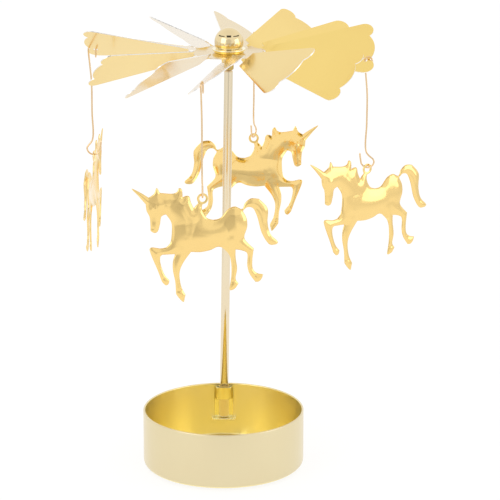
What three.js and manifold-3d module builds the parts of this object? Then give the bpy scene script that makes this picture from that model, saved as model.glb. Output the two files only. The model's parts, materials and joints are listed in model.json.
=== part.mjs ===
// Candle carousel in polished gold metal. A round tealight cup carries a thin pole in a clip. A rotor
// with twelve twisted blades turns on the needle at the pole's top, driven by the warm air. Four
// stamped unicorns hang from the rotor on wire hooks.
// Millimetres, +Z up. The origin is on the cup's axis at the top of its floor, where the candle
// stands, and the pole stands on the +Y side.

import * as THREE from "three";
import { mergeVertices } from "three/addons/utils/BufferGeometryUtils.js";
import Module from "manifold-3d";

const wasm = await Module();
wasm.setup();

// Gaps between pieces
const seatGap = 0.3;
const overrun = 1;

// Cup
const cupRadius = 31;
const cupHeight = 22.6;
const cupWall = 0.45;
const cupCornerRadius = 2;
const hemRadius = 0.4;
const footHeight = 0.8;
const footTipRadius = 1.2;
const footRootRadius = 2;
const footCircleRadius = 25;
const footCount = 4;
const footTurnDegrees = -11;

// Clip inside the cup's rear wall
const clipWidth = 7.4;
const clipSheet = 0.5;
const clipStrapHeight = 5.6;
const clipShelfHeight = 8.1;
const clipShelfDepth = 2.6;
const clipShelfWidth = 9.6;
const clipCornerHeight = 1.1;
const clipCornerLength = 1.5;
const clipStrapTaper = 0.55;
const tongueSideClearance = 0.6;
const tongueFaceClearance = 0.3;

// Pole
const poleRadius = 1.7;
const poleWall = 0.4;
const poleLength = 140.6;
const poleLeanDegrees = 0.9;
const tongueWidth = 4.6;
const tongueThickness = 0.9;
const tongueLength = 13;
const tongueNeckLength = 1.5;
const tongueCornerRadius = 0.8;

// Collar and needle at the pole's top
const collarRadius = 2;
const collarHeight = 2.9;
const collarChamfer = 0.6;
const needleRadius = 0.45;
const needleReach = 8.4;
const needlePointLength = 1.4;
const needleTipRadius = 0.12;

// Rotor sheet
const bladeCount = 12;
const firstBladeDegrees = -5;
const bladeReach = 56;
const bladeNotchDepth = 2;
const bladeNotchOffset = 6.2;
const cornerLobeShare = 0.516;
const bladeSideDegrees = 13.7;
const bladeRootRadius = 15.6;
const hubDiscRadius = 13.6;
const neckWidth = 3;
const rotorSheet = 0.35;
const hubHoleRadius = 1.3;
const pivotRise = 4.4;

// The blades are bent by hand, so each has its own twist about its centre line, with the
// counter-clockwise edge up, and its own lift. The first blade points along firstBladeDegrees.
const bladeTwistDegrees = [36, 30, 32, 31, 35, 22, 32, 37, 39, 35, 36, 38];
const bladeLiftDegrees = [4, 0, 2, -0.5, -2, -2, 4.3, -3.8, -2.6, 3.2, 4.2, -4.2];

// Ball, flange and cone of the hub
const ballRadius = 5.6;
const ballWall = 0.4;
const flangeRadius = 6.4;
const flangeHeight = 1.5;
const flangeTaper = 0.9;
const coneTopRadius = 2.7;
const coneBottomRadius = 1.65;
const coneHeight = 3.2;
const bearingRadius = 1.5;
const bearingDepth = 1.2;

// Hooks
const wireRadius = 0.33;
const hookHoleRadius = 1;
const hookStripWidth = 0.85;
const hookHang = 0.25;
const hookDrop = 42.4;
const hookTailLength = 3.2;
const hookShankOffset = 0.4;
const hookBendRadius = 2.6;
const hookKinkHeight = 6;
const hookKinkLength = 2.6;
const hookTipLength = 3;

// Charms
const charmLength = 55;
const charmSheet = 0.45;
const charmRelief = 1.3;
const ringRadius = 2.1;
const ringHoleRadius = 1.2;

// One hanger for every third blade: the hook's turn in its hole from the blade's own direction,
// the turn of its lower bend from its crown, and the direction in which the charm's tail points.
const hangers = [
  { side: "right", blade: 0, hookTurnDegrees: -10, bendTurnDegrees: 0, charmYawDegrees: 32 },
  { side: "rear", blade: 3, hookTurnDegrees: 10, bendTurnDegrees: -27, charmYawDegrees: 182 },
  { side: "left", blade: 6, hookTurnDegrees: 180, bendTurnDegrees: 180, charmYawDegrees: 265 },
  { side: "front", blade: 9, hookTurnDegrees: 170, bendTurnDegrees: 15, charmYawDegrees: 11 },
];

// Worked out from the sizes above
const radians = THREE.MathUtils.degToRad;
const cupFloorHeight = footHeight + cupWall;
const clipPlateBack = Math.sqrt((cupRadius - cupWall) ** 2 - (clipWidth / 2) ** 2) - seatGap;
const clipPlateFront = clipPlateBack - clipSheet;
const clipTop = cupHeight - 2 * hemRadius - seatGap;
const poleCentreY = clipPlateFront - tongueFaceClearance - tongueThickness / 2;
const poleFootHeight = clipShelfHeight + clipSheet + tongueFaceClearance;
const needleTipDistance = poleLength + seatGap + collarHeight + needleReach;
const pivotX = needleTipDistance * Math.sin(radians(poleLeanDegrees));
const pivotHeight = poleFootHeight + needleTipDistance * Math.cos(radians(poleLeanDegrees));
const rotorHeight = pivotHeight - pivotRise;
const bladeNotchReach = bladeReach - bladeNotchDepth;
const crownRadius = hookHoleRadius + hookStripWidth / 2;

// Materials
function metal(color, roughness) {
  return new THREE.MeshStandardMaterial({ color, roughness, metalness: 1 });
}
const champagneMetal = metal(0xe8dbb2, 0.35);
const goldMetal = metal(0xf0d284, 0.12);
const deepGoldMetal = metal(0xe0b040, 0.2);
const steelMetal = metal(0xc8c8cc, 0.3);

// A geometry as a solid that can be joined and cut, and back again.
function solidOf(geometry) {
  const bare = geometry.clone();
  bare.deleteAttribute("normal");
  bare.deleteAttribute("uv");
  const merged = mergeVertices(bare, 1e-4);
  const vertProperties = new Float32Array(merged.attributes.position.array);
  const triVerts = new Uint32Array(merged.index.array);
  return new wasm.Manifold(new wasm.Mesh({ numProp: 3, vertProperties, triVerts }));
}

function geometryOf(solid) {
  const mesh = solid.getMesh();
  const geometry = new THREE.BufferGeometry();
  geometry.setAttribute("position", new THREE.BufferAttribute(mesh.vertProperties, 3));
  geometry.setIndex(new THREE.BufferAttribute(mesh.triVerts, 1));
  const faceted = geometry.toNonIndexed();
  faceted.computeVertexNormals();
  return faceted;
}

function joined(geometries) {
  return geometries.map(solidOf).reduce((whole, piece) => whole.add(piece));
}

// A profile of radius and height turned about Z. It runs up the outside and down the inside.
function turned(profile, segments) {
  const points = profile.map(([radius, height]) => new THREE.Vector2(radius, height));
  return new THREE.LatheGeometry(points, segments).rotateX(Math.PI / 2);
}

// Points on an arc in a plane, both ends included.
function arc(centreX, centreY, radius, fromDegrees, toDegrees, steps) {
  return Array.from({ length: steps + 1 }, (_, i) => {
    const angle = radians(fromDegrees + ((toDegrees - fromDegrees) * i) / steps);
    return [centreX + radius * Math.cos(angle), centreY + radius * Math.sin(angle)];
  });
}

// A closed skin through rings of equally many points, with both ends closed.
function loft(rings) {
  const count = rings[0].length;
  const last = (rings.length - 1) * count;
  const faces = [];
  for (let start = 0; start < last; start += count) {
    for (let i = 0; i < count; i++) {
      const a = start + i;
      const b = start + ((i + 1) % count);
      faces.push(a, b, b + count, a, b + count, a + count);
    }
  }
  for (let i = 1; i < count - 1; i++) {
    faces.push(0, i + 1, i);
    faces.push(last, last + i, last + i + 1);
  }
  const geometry = new THREE.BufferGeometry().setFromPoints(rings.flat());
  geometry.setIndex(faces);
  return geometry.toNonIndexed();
}

function outline(points) {
  return new THREE.Shape(points.map(([x, y]) => new THREE.Vector2(x, y)));
}

// A flat outline as a plate whose middle plane is z = 0.
function plate(shape, thickness) {
  const geometry = new THREE.ExtrudeGeometry(shape, { depth: thickness, bevelEnabled: false });
  return geometry.translate(0, 0, -thickness / 2);
}

function piece(name, geometry, material) {
  geometry.computeVertexNormals();
  const mesh = new THREE.Mesh(geometry, material);
  mesh.name = name;
  return mesh;
}

function cup() {
  const innerRadius = cupRadius - cupWall;
  const innerCorner = cupCornerRadius - cupWall;
  const cornerX = cupRadius - cupCornerRadius;
  const cornerZ = footHeight + cupCornerRadius;
  const hemX = cupRadius - hemRadius;
  const hemZ = cupHeight - hemRadius;
  const hemRootHeight = hemZ - Math.sqrt(hemRadius ** 2 - (cupWall - hemRadius) ** 2);
  const shell = turned(
    [
      [0, footHeight],
      ...arc(cornerX, cornerZ, cupCornerRadius, -90, 0, 3),
      ...arc(hemX, hemZ, hemRadius, 0, 180, 3),
      [innerRadius, hemRootHeight],
      ...arc(cornerX, cupFloorHeight + innerCorner, innerCorner, 0, -90, 2),
      [0, cupFloorHeight],
    ],
    56,
  );
  const footLength = footHeight + cupWall / 2;
  const feet = Array.from({ length: footCount }, (_, i) => {
    const angle = radians(footTurnDegrees + (360 * i) / footCount);
    return new THREE.CylinderGeometry(footRootRadius, footTipRadius, footLength, 16)
      .rotateX(Math.PI / 2)
      .translate(
        footCircleRadius * Math.cos(angle),
        footCircleRadius * Math.sin(angle),
        footLength / 2,
      );
  });
  return piece("cup", geometryOf(joined([shell, ...feet])), champagneMetal);
}

function poleClip() {
  const halfWidth = clipWidth / 2;
  const channelHalf = tongueWidth / 2 + tongueSideClearance;
  const channelDepth = tongueThickness + 2 * tongueFaceClearance;
  const strapFront = clipPlateFront - channelDepth - clipSheet;
  const plateHeight = clipTop - clipShelfHeight;
  const back = new THREE.BoxGeometry(clipWidth, clipSheet, plateHeight);
  back.translate(0, (clipPlateBack + clipPlateFront) / 2, clipShelfHeight + plateHeight / 2);
  const strapSection = outline([
    [halfWidth, clipPlateBack],
    [-halfWidth, clipPlateBack],
    [-halfWidth, clipPlateFront],
    [clipStrapTaper - halfWidth, strapFront],
    [halfWidth - clipStrapTaper, strapFront],
    [halfWidth, clipPlateFront],
  ]);
  const channel = [
    [channelHalf, clipPlateFront],
    [channelHalf, strapFront + clipSheet],
    [-channelHalf, strapFront + clipSheet],
    [-channelHalf, clipPlateFront],
  ];
  strapSection.holes.push(new THREE.Path(channel.map(([x, y]) => new THREE.Vector2(x, y))));
  const strap = new THREE.ExtrudeGeometry(strapSection, {
    depth: clipStrapHeight,
    bevelEnabled: false,
  });
  strap.translate(0, 0, clipTop - clipStrapHeight);
  const shelf = new THREE.BoxGeometry(clipShelfWidth, clipShelfDepth, clipSheet);
  shelf.translate(0, clipPlateFront - clipShelfDepth / 2, clipShelfHeight + clipSheet / 2);
  const corners = [-1, 1].map((side) => {
    const corner = new THREE.BoxGeometry(clipSheet, clipCornerLength, clipCornerHeight);
    return corner.translate(
      (side * (clipShelfWidth - clipSheet)) / 2,
      clipPlateFront - clipShelfDepth + clipCornerLength / 2,
      clipShelfHeight + clipCornerHeight / 2,
    );
  });
  return piece("pole_clip", geometryOf(joined([back, strap, shelf, ...corners])), deepGoldMetal);
}

// A ring of the pole at one height: a rounded rectangle that can be as round as a circle.
function poleRing(height, halfX, halfY, roundness) {
  const sides = 24;
  const power = 2 / roundness;
  return Array.from({ length: sides }, (_, i) => {
    const angle = (2 * Math.PI * i) / sides;
    const x = Math.cos(angle);
    const y = Math.sin(angle);
    return new THREE.Vector3(
      halfX * Math.sign(x) * Math.abs(x) ** power,
      halfY * Math.sign(y) * Math.abs(y) ** power,
      height,
    );
  });
}

// The pole stands on its foot at the origin: a flat tongue, a crimped neck, then an open tube.
function pole() {
  const halfWidth = tongueWidth / 2;
  const halfThickness = tongueThickness / 2;
  const boreRadius = poleRadius - poleWall;
  const neckTop = tongueLength + tongueNeckLength;
  const boreFloor = neckTop + poleWall;
  const middle = (from, to) => (from + to) / 2;
  return piece(
    "pole",
    loft([
      poleRing(0, halfWidth - tongueCornerRadius, halfThickness, 6),
      poleRing(tongueCornerRadius, halfWidth, halfThickness, 6),
      poleRing(tongueLength, halfWidth, halfThickness, 6),
      poleRing(
        middle(tongueLength, neckTop),
        middle(halfWidth, poleRadius),
        middle(halfThickness, poleRadius),
        3,
      ),
      poleRing(neckTop, poleRadius, poleRadius, 2),
      poleRing(poleLength, poleRadius, poleRadius, 2),
      poleRing(poleLength, boreRadius, boreRadius, 2),
      poleRing(boreFloor, boreRadius, boreRadius, 2),
    ]),
    goldMetal,
  );
}

// The collar's foot is its z = 0.
function poleCollar() {
  const boreRadius = needleRadius + seatGap;
  return piece(
    "pole_collar",
    turned(
      [
        [boreRadius, 0],
        [collarRadius - collarChamfer, 0],
        [collarRadius, collarChamfer],
        [collarRadius, collarHeight],
        [boreRadius, collarHeight],
        [boreRadius, 0],
      ],
      24,
    ),
    deepGoldMetal,
  );
}

// The needle stands in the collar's bore and points up.
function needle() {
  const top = collarHeight + needleReach;
  return piece(
    "needle",
    turned(
      [
        [0, 0],
        [needleRadius, 0],
        [needleRadius, top - needlePointLength],
        [needleTipRadius, top],
        [0, top],
      ],
      12,
    ),
    steelMetal,
  );
}

// Places a blade's own frame: x outward along its centre line from `radius`, y counter-clockwise.
function bladeFrame(index, radius, share) {
  const twist = radians(bladeTwistDegrees[index % bladeTwistDegrees.length] * share);
  const lift = radians(bladeLiftDegrees[index % bladeLiftDegrees.length] * share);
  return new THREE.Matrix4()
    .makeRotationZ(bladeAngle(index))
    .multiply(new THREE.Matrix4().makeTranslation(radius, 0, 0))
    .multiply(new THREE.Matrix4().makeRotationY(-lift))
    .multiply(new THREE.Matrix4().makeRotationX(twist));
}

function bladeAngle(index) {
  return radians(firstBladeDegrees + (360 * index) / bladeCount);
}

// One half of a blade's lobed outer edge, from the tip to the straight side. The centre lobe is an
// arc through both notches. Each corner lobe is an arc from its notch to the side, which it touches.
function bladeEdge() {
  const centreLobeRadius = (bladeNotchOffset ** 2 + bladeNotchDepth ** 2) / (2 * bladeNotchDepth);
  const centreLobeDegrees = THREE.MathUtils.radToDeg(
    Math.asin(bladeNotchOffset / centreLobeRadius),
  );
  const side = radians(bladeSideDegrees);
  const along = bladeNotchReach * Math.cos(side) + bladeNotchOffset * Math.sin(side);
  const inset = bladeNotchReach * Math.sin(side) - bladeNotchOffset * Math.cos(side);
  const cornerLobeRadius = cornerLobeShare * inset;
  const touch = along - Math.sqrt(cornerLobeRadius ** 2 - (inset - cornerLobeRadius) ** 2);
  const lobeX = touch * Math.cos(side) + cornerLobeRadius * Math.sin(side);
  const lobeY = touch * Math.sin(side) - cornerLobeRadius * Math.cos(side);
  const notchDegrees = THREE.MathUtils.radToDeg(
    Math.atan2(bladeNotchOffset - lobeY, bladeNotchReach - lobeX),
  );
  const centreLobeX = bladeReach - centreLobeRadius;
  return [
    ...arc(centreLobeX, 0, centreLobeRadius, 0, centreLobeDegrees, 3),
    ...arc(lobeX, lobeY, cornerLobeRadius, notchDegrees, 90 + bladeSideDegrees, 5).slice(1),
  ];
}

// A blade's flat sheet in its own frame, whose origin is at the blade's root.
function bladeSheet(hasHole) {
  const rootHalf = bladeRootRadius * Math.tan(radians(bladeSideDegrees));
  const half = [...bladeEdge(), [bladeRootRadius, rootHalf]];
  const mirrored = half.slice(1).reverse();
  const shape = outline([
    ...half.map(([x, y]) => [x - bladeRootRadius, y]),
    ...mirrored.map(([x, y]) => [x - bladeRootRadius, -y]),
  ]);
  if (hasHole) {
    const hole = new THREE.Path();
    hole.absarc(hookHoleX() - bladeRootRadius, -bladeNotchOffset, hookHoleRadius, 0, 2 * Math.PI);
    shape.holes.push(hole);
  }
  const geometry = new THREE.ExtrudeGeometry(shape, {
    depth: rotorSheet,
    bevelEnabled: false,
    curveSegments: 8,
  });
  return geometry.translate(0, 0, -rotorSheet / 2);
}

function hookHoleX() {
  return bladeNotchReach - hookStripWidth - hookHoleRadius;
}

// The twisted neck from the hub disc to a blade's root, with some length inside both.
function bladeNeck(index) {
  const steps = 5;
  const start = hubDiscRadius - neckWidth / 4;
  const end = bladeRootRadius + neckWidth / 4;
  const corners = [
    [-1, -1],
    [1, -1],
    [1, 1],
    [-1, 1],
  ];
  const rings = Array.from({ length: steps + 1 }, (_, i) => {
    const radius = start + ((end - start) * i) / steps;
    const share = THREE.MathUtils.smoothstep(radius, hubDiscRadius, bladeRootRadius);
    const frame = bladeFrame(index, Math.min(radius, bladeRootRadius), share);
    const beyond = Math.max(radius - bladeRootRadius, 0);
    return corners.map(([y, z]) =>
      new THREE.Vector3(beyond, (y * neckWidth) / 2, (z * rotorSheet) / 2).applyMatrix4(frame),
    );
  });
  return loft(rings);
}

function rotor() {
  const disc = new THREE.Shape();
  disc.absarc(0, 0, hubDiscRadius, 0, 2 * Math.PI);
  const hole = new THREE.Path();
  hole.absarc(0, 0, hubHoleRadius, 0, 2 * Math.PI);
  disc.holes.push(hole);
  const blades = Array.from({ length: bladeCount }, (_, index) => {
    const hasHole = hangers.some((hanger) => hanger.blade === index);
    const sheet = bladeSheet(hasHole);
    return [sheet.applyMatrix4(bladeFrame(index, bladeRootRadius, 1)), bladeNeck(index)];
  });
  return piece("rotor", geometryOf(joined([plate(disc, rotorSheet), ...blades.flat()])), goldMetal);
}

// The ball is a hollow shell, open below, with its rim on the flange.
function domeCap() {
  const centre = rotorSheet / 2 + flangeHeight + ballSeatDrop();
  const openDegrees = -THREE.MathUtils.radToDeg(Math.asin(ballSeatDrop() / ballRadius));
  const innerRadius = ballRadius - ballWall;
  const innerOpenDegrees = -THREE.MathUtils.radToDeg(Math.asin(ballSeatDrop() / innerRadius));
  const outside = arc(0, centre, ballRadius, openDegrees, 90, 9);
  const inside = arc(0, centre, innerRadius, 90, innerOpenDegrees, 7);
  outside[outside.length - 1][0] = 0;
  inside[0][0] = 0;
  return piece("dome_cap", turned([...inside, ...outside], 24), goldMetal);
}

// How far the ball's centre lies above its open rim.
function ballSeatDrop() {
  return ballRadius * Math.sin(radians(26));
}

function capRing() {
  const bottom = rotorSheet / 2;
  const top = bottom + flangeHeight;
  const bore = bearingRadius + seatGap;
  return piece(
    "cap_ring",
    turned(
      [
        [bore, bottom],
        [flangeRadius - flangeTaper, bottom],
        [flangeRadius, top - flangeHeight / 3],
        [flangeRadius, top],
        [bore, top],
        [bore, bottom],
      ],
      32,
    ),
    deepGoldMetal,
  );
}

function hubCone() {
  const top = -rotorSheet / 2;
  return piece(
    "hub_cone",
    turned(
      [
        [hubHoleRadius, top - coneHeight],
        [coneBottomRadius, top - coneHeight],
        [coneTopRadius, top],
        [hubHoleRadius, top],
        [hubHoleRadius, top - coneHeight],
      ],
      24,
    ),
    deepGoldMetal,
  );
}

// The bearing hangs from the ball's crown and sits on the needle's point with a conical recess.
function bearingCup() {
  const ballTop = rotorSheet / 2 + flangeHeight + ballSeatDrop() + ballRadius - ballWall;
  const crownDip = ballRadius - ballWall - Math.sqrt((ballRadius - ballWall) ** 2 - bearingRadius ** 2);
  const top = ballTop - crownDip - seatGap;
  const bottom = pivotRise + seatGap - bearingDepth;
  return piece(
    "bearing_cup",
    turned(
      [
        [0, pivotRise + seatGap],
        [bearingRadius * 0.7, bottom],
        [bearingRadius, bottom],
        [bearingRadius, top],
        [0, top],
      ],
      16,
    ),
    steelMetal,
  );
}

// The hook in its own frame: x along its crown's plane, away from the shank, and the crown's centre
// at the origin. The crown passes over the strip of sheet, and the lower bend carries the ring.
function hook(name, bendTurnDegrees) {
  const bendZ = hookBendRadius - hookDrop - hookSeatRise();
  const shankZ = bendZ - hookBendRadius + hookKinkHeight;
  const crown = [
    [crownRadius, -hookTailLength],
    ...arc(0, 0, crownRadius, 0, 180, 6),
    [(-crownRadius - hookShankOffset) / 2, -2 * hookTailLength],
    [-hookShankOffset, -4 * hookTailLength],
    [-hookShankOffset, (shankZ - 4 * hookTailLength) / 2],
    [-hookShankOffset, shankZ],
  ];
  const bend = [
    [hookBendRadius - hookShankOffset, shankZ - hookKinkLength],
    ...arc(0, bendZ, hookBendRadius, 0, -180, 6),
    [-hookBendRadius - hookShankOffset, bendZ + hookTipLength],
  ];
  const upright = new THREE.Vector3(0, 0, 1);
  const bendTurn = radians(bendTurnDegrees);
  const path = new THREE.CatmullRomCurve3(
    [
      ...crown.map(([x, z]) => new THREE.Vector3(x, 0, z)),
      ...bend.map(([x, z]) => new THREE.Vector3(x, 0, z).applyAxisAngle(upright, bendTurn)),
    ],
    false,
    "centripetal",
  );
  const section = new THREE.Shape();
  section.absarc(0, 0, wireRadius, 0, 2 * Math.PI);
  const geometry = new THREE.ExtrudeGeometry(section, {
    steps: 72,
    curveSegments: 3,
    bevelEnabled: false,
    extrudePath: path,
  });
  return piece(name, geometry, goldMetal);
}

// The wire's lowest centre line lies this much below the ring's centre when it is negative.
function hookSeatRise() {
  return wireRadius + seatGap - ringHoleRadius;
}

// The unicorn's outline in shares of a hundredth of its length, from the ring's centre, with the
// horn towards -x. Each stretch is a smooth curve that starts where the last one ends.
const charmOutlineShares = [
  [[-36.5, 2], [-48, 8], [-38, -2]],
  [[-38, -2], [-38, -6.5], [-36, -11], [-35.5, -17], [-35.5, -20.5]],
  [[-35.5, -20.5], [-33, -22], [-30.5, -21], [-29, -16], [-28, -11], [-25, -9.5]],
  [[-25, -9.5], [-21.5, -15], [-21, -21], [-22, -29], [-25, -32.5]],
  [[-25, -32.5], [-29, -33], [-35, -32], [-36, -35], [-31, -48], [-28, -56.5]],
  [[-28, -56.5], [-25.5, -59], [-23.5, -58], [-23, -55.5]],
  [[-23, -55.5], [-26.5, -51], [-29, -43], [-28.5, -38], [-24, -37.5], [-19, -37.5]],
  [[-19, -37.5], [-20.5, -43], [-20.5, -49], [-19, -57], [-18.5, -65.5]],
  [[-18.5, -65.5], [-16.5, -68.5], [-13.5, -71.5], [-12.5, -68.5], [-12, -66.5]],
  [[-12, -66.5], [-15, -60], [-16, -51], [-13.5, -44], [-8, -36.5]],
  [[-8, -36.5], [-1.5, -37], [5, -36], [10, -34], [13, -34.5]],
  [[13, -34.5], [18, -40], [19.5, -47], [19.5, -55], [18.5, -62]],
  [[18.5, -62], [18.5, -65], [22, -64], [24.5, -60.5]],
  [[24.5, -60.5], [22.5, -57], [23.5, -50], [22.5, -42], [22.5, -36.5]],
  [[22.5, -36.5], [27, -37.5], [30.5, -40], [30.5, -48], [32, -54], [36, -60]],
  [[36, -60], [38.5, -60], [40.5, -58], [41.5, -55]],
  [[41.5, -55], [37.5, -54], [34.5, -51], [34, -45], [35, -36.5]],
  [[35, -36.5], [30.5, -32], [28.5, -28], [30.5, -21], [30, -15], [27.5, -10]],
  [[27.5, -10], [30.5, -7.5], [34.5, -8.5], [37.5, -15], [40.5, -26], [45.5, -34], [50.5, -34.5]],
  [[50.5, -34.5], [51.5, -32.5], [46.5, -27], [44.5, -19], [44.5, -9], [38.5, -2]],
  [[38.5, -2], [33, -1.5], [29, -4.5], [27, -8.5], [22, -6.5], [17, -8.5], [12, -14], [7, -15]],
  [[7, -15], [3, -13.5], [0.5, -10], [-0.5, -6.5], [0, -2.2]],
  [[0, -2.2], [-2.4, -2], [-4.6, -4.6], [-6, -6.5]],
  [[-6, -6.5], [-8, -2], [-9, 2], [-11.5, 2.5], [-13.5, 1.5]],
  [[-13.5, 1.5], [-14, 7], [-16, 8], [-17.5, 5.5], [-21, 4.5], [-29, 5.5]],
  [[-29, 5.5], [-31, 9], [-33, 5], [-36.5, 2]],
];

// Swellings of the relief: centre, half width, half height and rise, in the same shares.
const charmReliefShares = [
  [0, -26, 22, 11, 1],
  [20, -22, 11, 14, 0.9],
  [-13, -14, 9, 16, 0.9],
  [-27, -4, 9, 8, 0.7],
  [42, -14, 6, 12, 0.5],
];

function charmShape() {
  const size = charmLength / 100;
  const points = charmOutlineShares.flatMap((stretch) => {
    const curve = new THREE.SplineCurve(stretch.map(([x, y]) => new THREE.Vector2(x, y)));
    return curve.getPoints(stretch.length - 1).slice(1);
  });
  return new THREE.Shape(points.map((point) => point.multiplyScalar(size)));
}

function reliefHeight(x, z) {
  const size = charmLength / 100;
  const rise = charmReliefShares.map(([cx, cz, halfX, halfZ, share]) => {
    const away = ((x / size - cx) / halfX) ** 2 + ((z / size - cz) / halfZ) ** 2;
    return share * Math.exp(-away);
  });
  return charmRelief * Math.max(...rise);
}

// The swelling sheet before its outline is cut: rings of the front and the back face, along x.
function reliefSheet() {
  const size = charmLength / 100;
  const [left, right, low, high] = [-50, 53, -73, 11].map((share) => share * size);
  const columns = 12;
  const rows = 9;
  const rings = Array.from({ length: columns + 1 }, (_, column) => {
    const x = left + ((right - left) * column) / columns;
    const line = Array.from({ length: rows + 1 }, (_, row) => low + ((high - low) * row) / rows);
    const face = (z, side) =>
      new THREE.Vector3(x, (side * charmSheet) / 2 - reliefHeight(x, z), z);
    const back = line.map((z) => face(z, 1));
    const front = line.map((z) => face(z, -1)).reverse();
    return [...back, ...front];
  });
  return loft(rings);
}

// A charm in its own frame: the ring's centre at the origin, the tail towards +x, the relief
// towards -y.
function charm(name) {
  const depth = 2 * (charmRelief + charmSheet + overrun);
  const blank = plate(charmShape(), depth).rotateX(Math.PI / 2);
  const ring = new THREE.CylinderGeometry(ringRadius, ringRadius, charmSheet, 24);
  const hole = new THREE.CylinderGeometry(ringHoleRadius, ringHoleRadius, depth, 24);
  const body = solidOf(blank).intersect(solidOf(reliefSheet()));
  const solid = body.add(solidOf(ring)).subtract(solidOf(hole));
  return piece(name, geometryOf(solid), goldMetal);
}

// A hanger hangs from the middle of the strip between its hole and the notch.
function hangerGroup({ side, blade, hookTurnDegrees, bendTurnDegrees, charmYawDegrees }) {
  const strip = new THREE.Vector3(
    bladeNotchReach - hookStripWidth / 2 - bladeRootRadius,
    -bladeNotchOffset,
    0,
  ).applyMatrix4(bladeFrame(blade, bladeRootRadius, 1));
  const hanger = new THREE.Group();
  hanger.name = side + "_hanger";
  hanger.position.set(strip.x, strip.y, strip.z - hookHang);
  const wire = hook(side + "_hook", bendTurnDegrees);
  wire.rotation.z = bladeAngle(blade) + radians(hookTurnDegrees);
  const ring = new THREE.Group();
  ring.name = side + "_ring";
  ring.position.z = -hookDrop;
  ring.rotation.z = radians(charmYawDegrees);
  ring.add(charm(side + "_charm"));
  hanger.add(wire, ring);
  return hanger;
}

const poleGroup = new THREE.Group();
poleGroup.name = "pole_frame";
poleGroup.position.set(0, poleCentreY, poleFootHeight);
poleGroup.rotation.y = radians(poleLeanDegrees);
const collarGroup = new THREE.Group();
collarGroup.position.z = poleLength + seatGap;
collarGroup.add(poleCollar(), needle());
poleGroup.add(pole(), collarGroup);

const rotorGroup = new THREE.Group();
rotorGroup.name = "rotor_frame";
rotorGroup.position.set(pivotX, poleCentreY, rotorHeight);
rotorGroup.add(rotor(), domeCap(), capRing(), hubCone(), bearingCup());
rotorGroup.add(...hangers.map(hangerGroup));

// Heights count from the surface that the feet stand on, so the whole is lowered to its origin.
const standing = new THREE.Group();
standing.name = "standing_frame";
standing.position.z = -cupFloorHeight;
standing.add(cup(), poleClip(), poleGroup, rotorGroup);

const carousel = new THREE.Group();
carousel.add(standing);
export default carousel;
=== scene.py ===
import json
import math

import bmesh
import bpy
import numpy as np
from mathutils import Matrix, Vector
from mathutils.geometry import delaunay_2d_cdt


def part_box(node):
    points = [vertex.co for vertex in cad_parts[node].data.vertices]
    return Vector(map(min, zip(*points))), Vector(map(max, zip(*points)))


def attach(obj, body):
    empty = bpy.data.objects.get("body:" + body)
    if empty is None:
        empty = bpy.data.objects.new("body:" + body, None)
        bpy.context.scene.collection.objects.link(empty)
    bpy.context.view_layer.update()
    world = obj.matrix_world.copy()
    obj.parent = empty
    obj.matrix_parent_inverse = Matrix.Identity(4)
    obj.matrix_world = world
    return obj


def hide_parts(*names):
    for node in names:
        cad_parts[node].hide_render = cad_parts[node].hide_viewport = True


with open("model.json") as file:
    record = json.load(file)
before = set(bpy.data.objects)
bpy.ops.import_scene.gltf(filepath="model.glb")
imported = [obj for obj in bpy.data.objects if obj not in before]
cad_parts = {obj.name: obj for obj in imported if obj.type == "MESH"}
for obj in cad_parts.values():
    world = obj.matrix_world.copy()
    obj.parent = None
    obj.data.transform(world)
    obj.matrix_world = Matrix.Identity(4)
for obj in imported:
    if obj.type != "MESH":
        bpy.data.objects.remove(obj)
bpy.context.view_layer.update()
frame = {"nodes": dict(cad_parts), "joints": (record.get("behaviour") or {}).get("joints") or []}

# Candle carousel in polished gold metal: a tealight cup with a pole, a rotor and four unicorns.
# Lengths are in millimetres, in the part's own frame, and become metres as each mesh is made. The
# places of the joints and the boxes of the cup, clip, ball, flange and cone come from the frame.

MM = 0.001
JOINTS = {joint["name"]: joint for joint in frame["joints"]}


def box_mm(node_name):
    """A node's lowest and highest corners."""
    low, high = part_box(node_name)
    return Vector(low) / MM, Vector(high) / MM


# Camera, fitted to the photograph
PICTURE_PIXELS = 500
FOCAL_PIXELS = 2536
SENSOR = 36
CAMERA_PLACE = (4.2, -927.9, 346.55)
CAMERA_PITCH_DEGREES = -15.75
CAMERA_PAN_DEGREES = -0.375

# Cup, whose heights count from the surface that its feet stand on
CUP_LOW, CUP_HIGH = box_mm("cup")
STANDING_Z = CUP_LOW.z
CUP_RADIUS = (CUP_HIGH.x - CUP_LOW.x) / 2
CUP_HEIGHT = CUP_HIGH.z - STANDING_Z
CUP_WALL = 0.45
CUP_CORNER = 2
CUP_INNER_CORNER = 0.6
HEM_RADIUS = 0.4
HEM_END_DEGREES = 190
FLOOR_RINGS = 40
FOOT_COUNT = 4
FOOT_HEIGHT = 0.8
FOOT_RADIUS = 1.7
FOOT_BLEND_SHARES = (1.6, 0.5)
FOOT_CIRCLE = 25
FOOT_TURN_DEGREES = -11

# Clip in the cup
CLIP_LOW, CLIP_HIGH = box_mm("pole_clip")
CLIP_WIDTH = 7.4
CLIP_SHEET = 0.5
CLIP_STRAP_HEIGHT = 5.1
CLIP_SHELF_DEPTH = 2.6
CLIP_CORNER_HEIGHT = 1.1
CLIP_TAPER = 0.55
CLIP_BEND = 1.1
CLIP_EDGE_BEVEL = 0.12
SHELF_EDGE_BEVEL = 0.2

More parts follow.
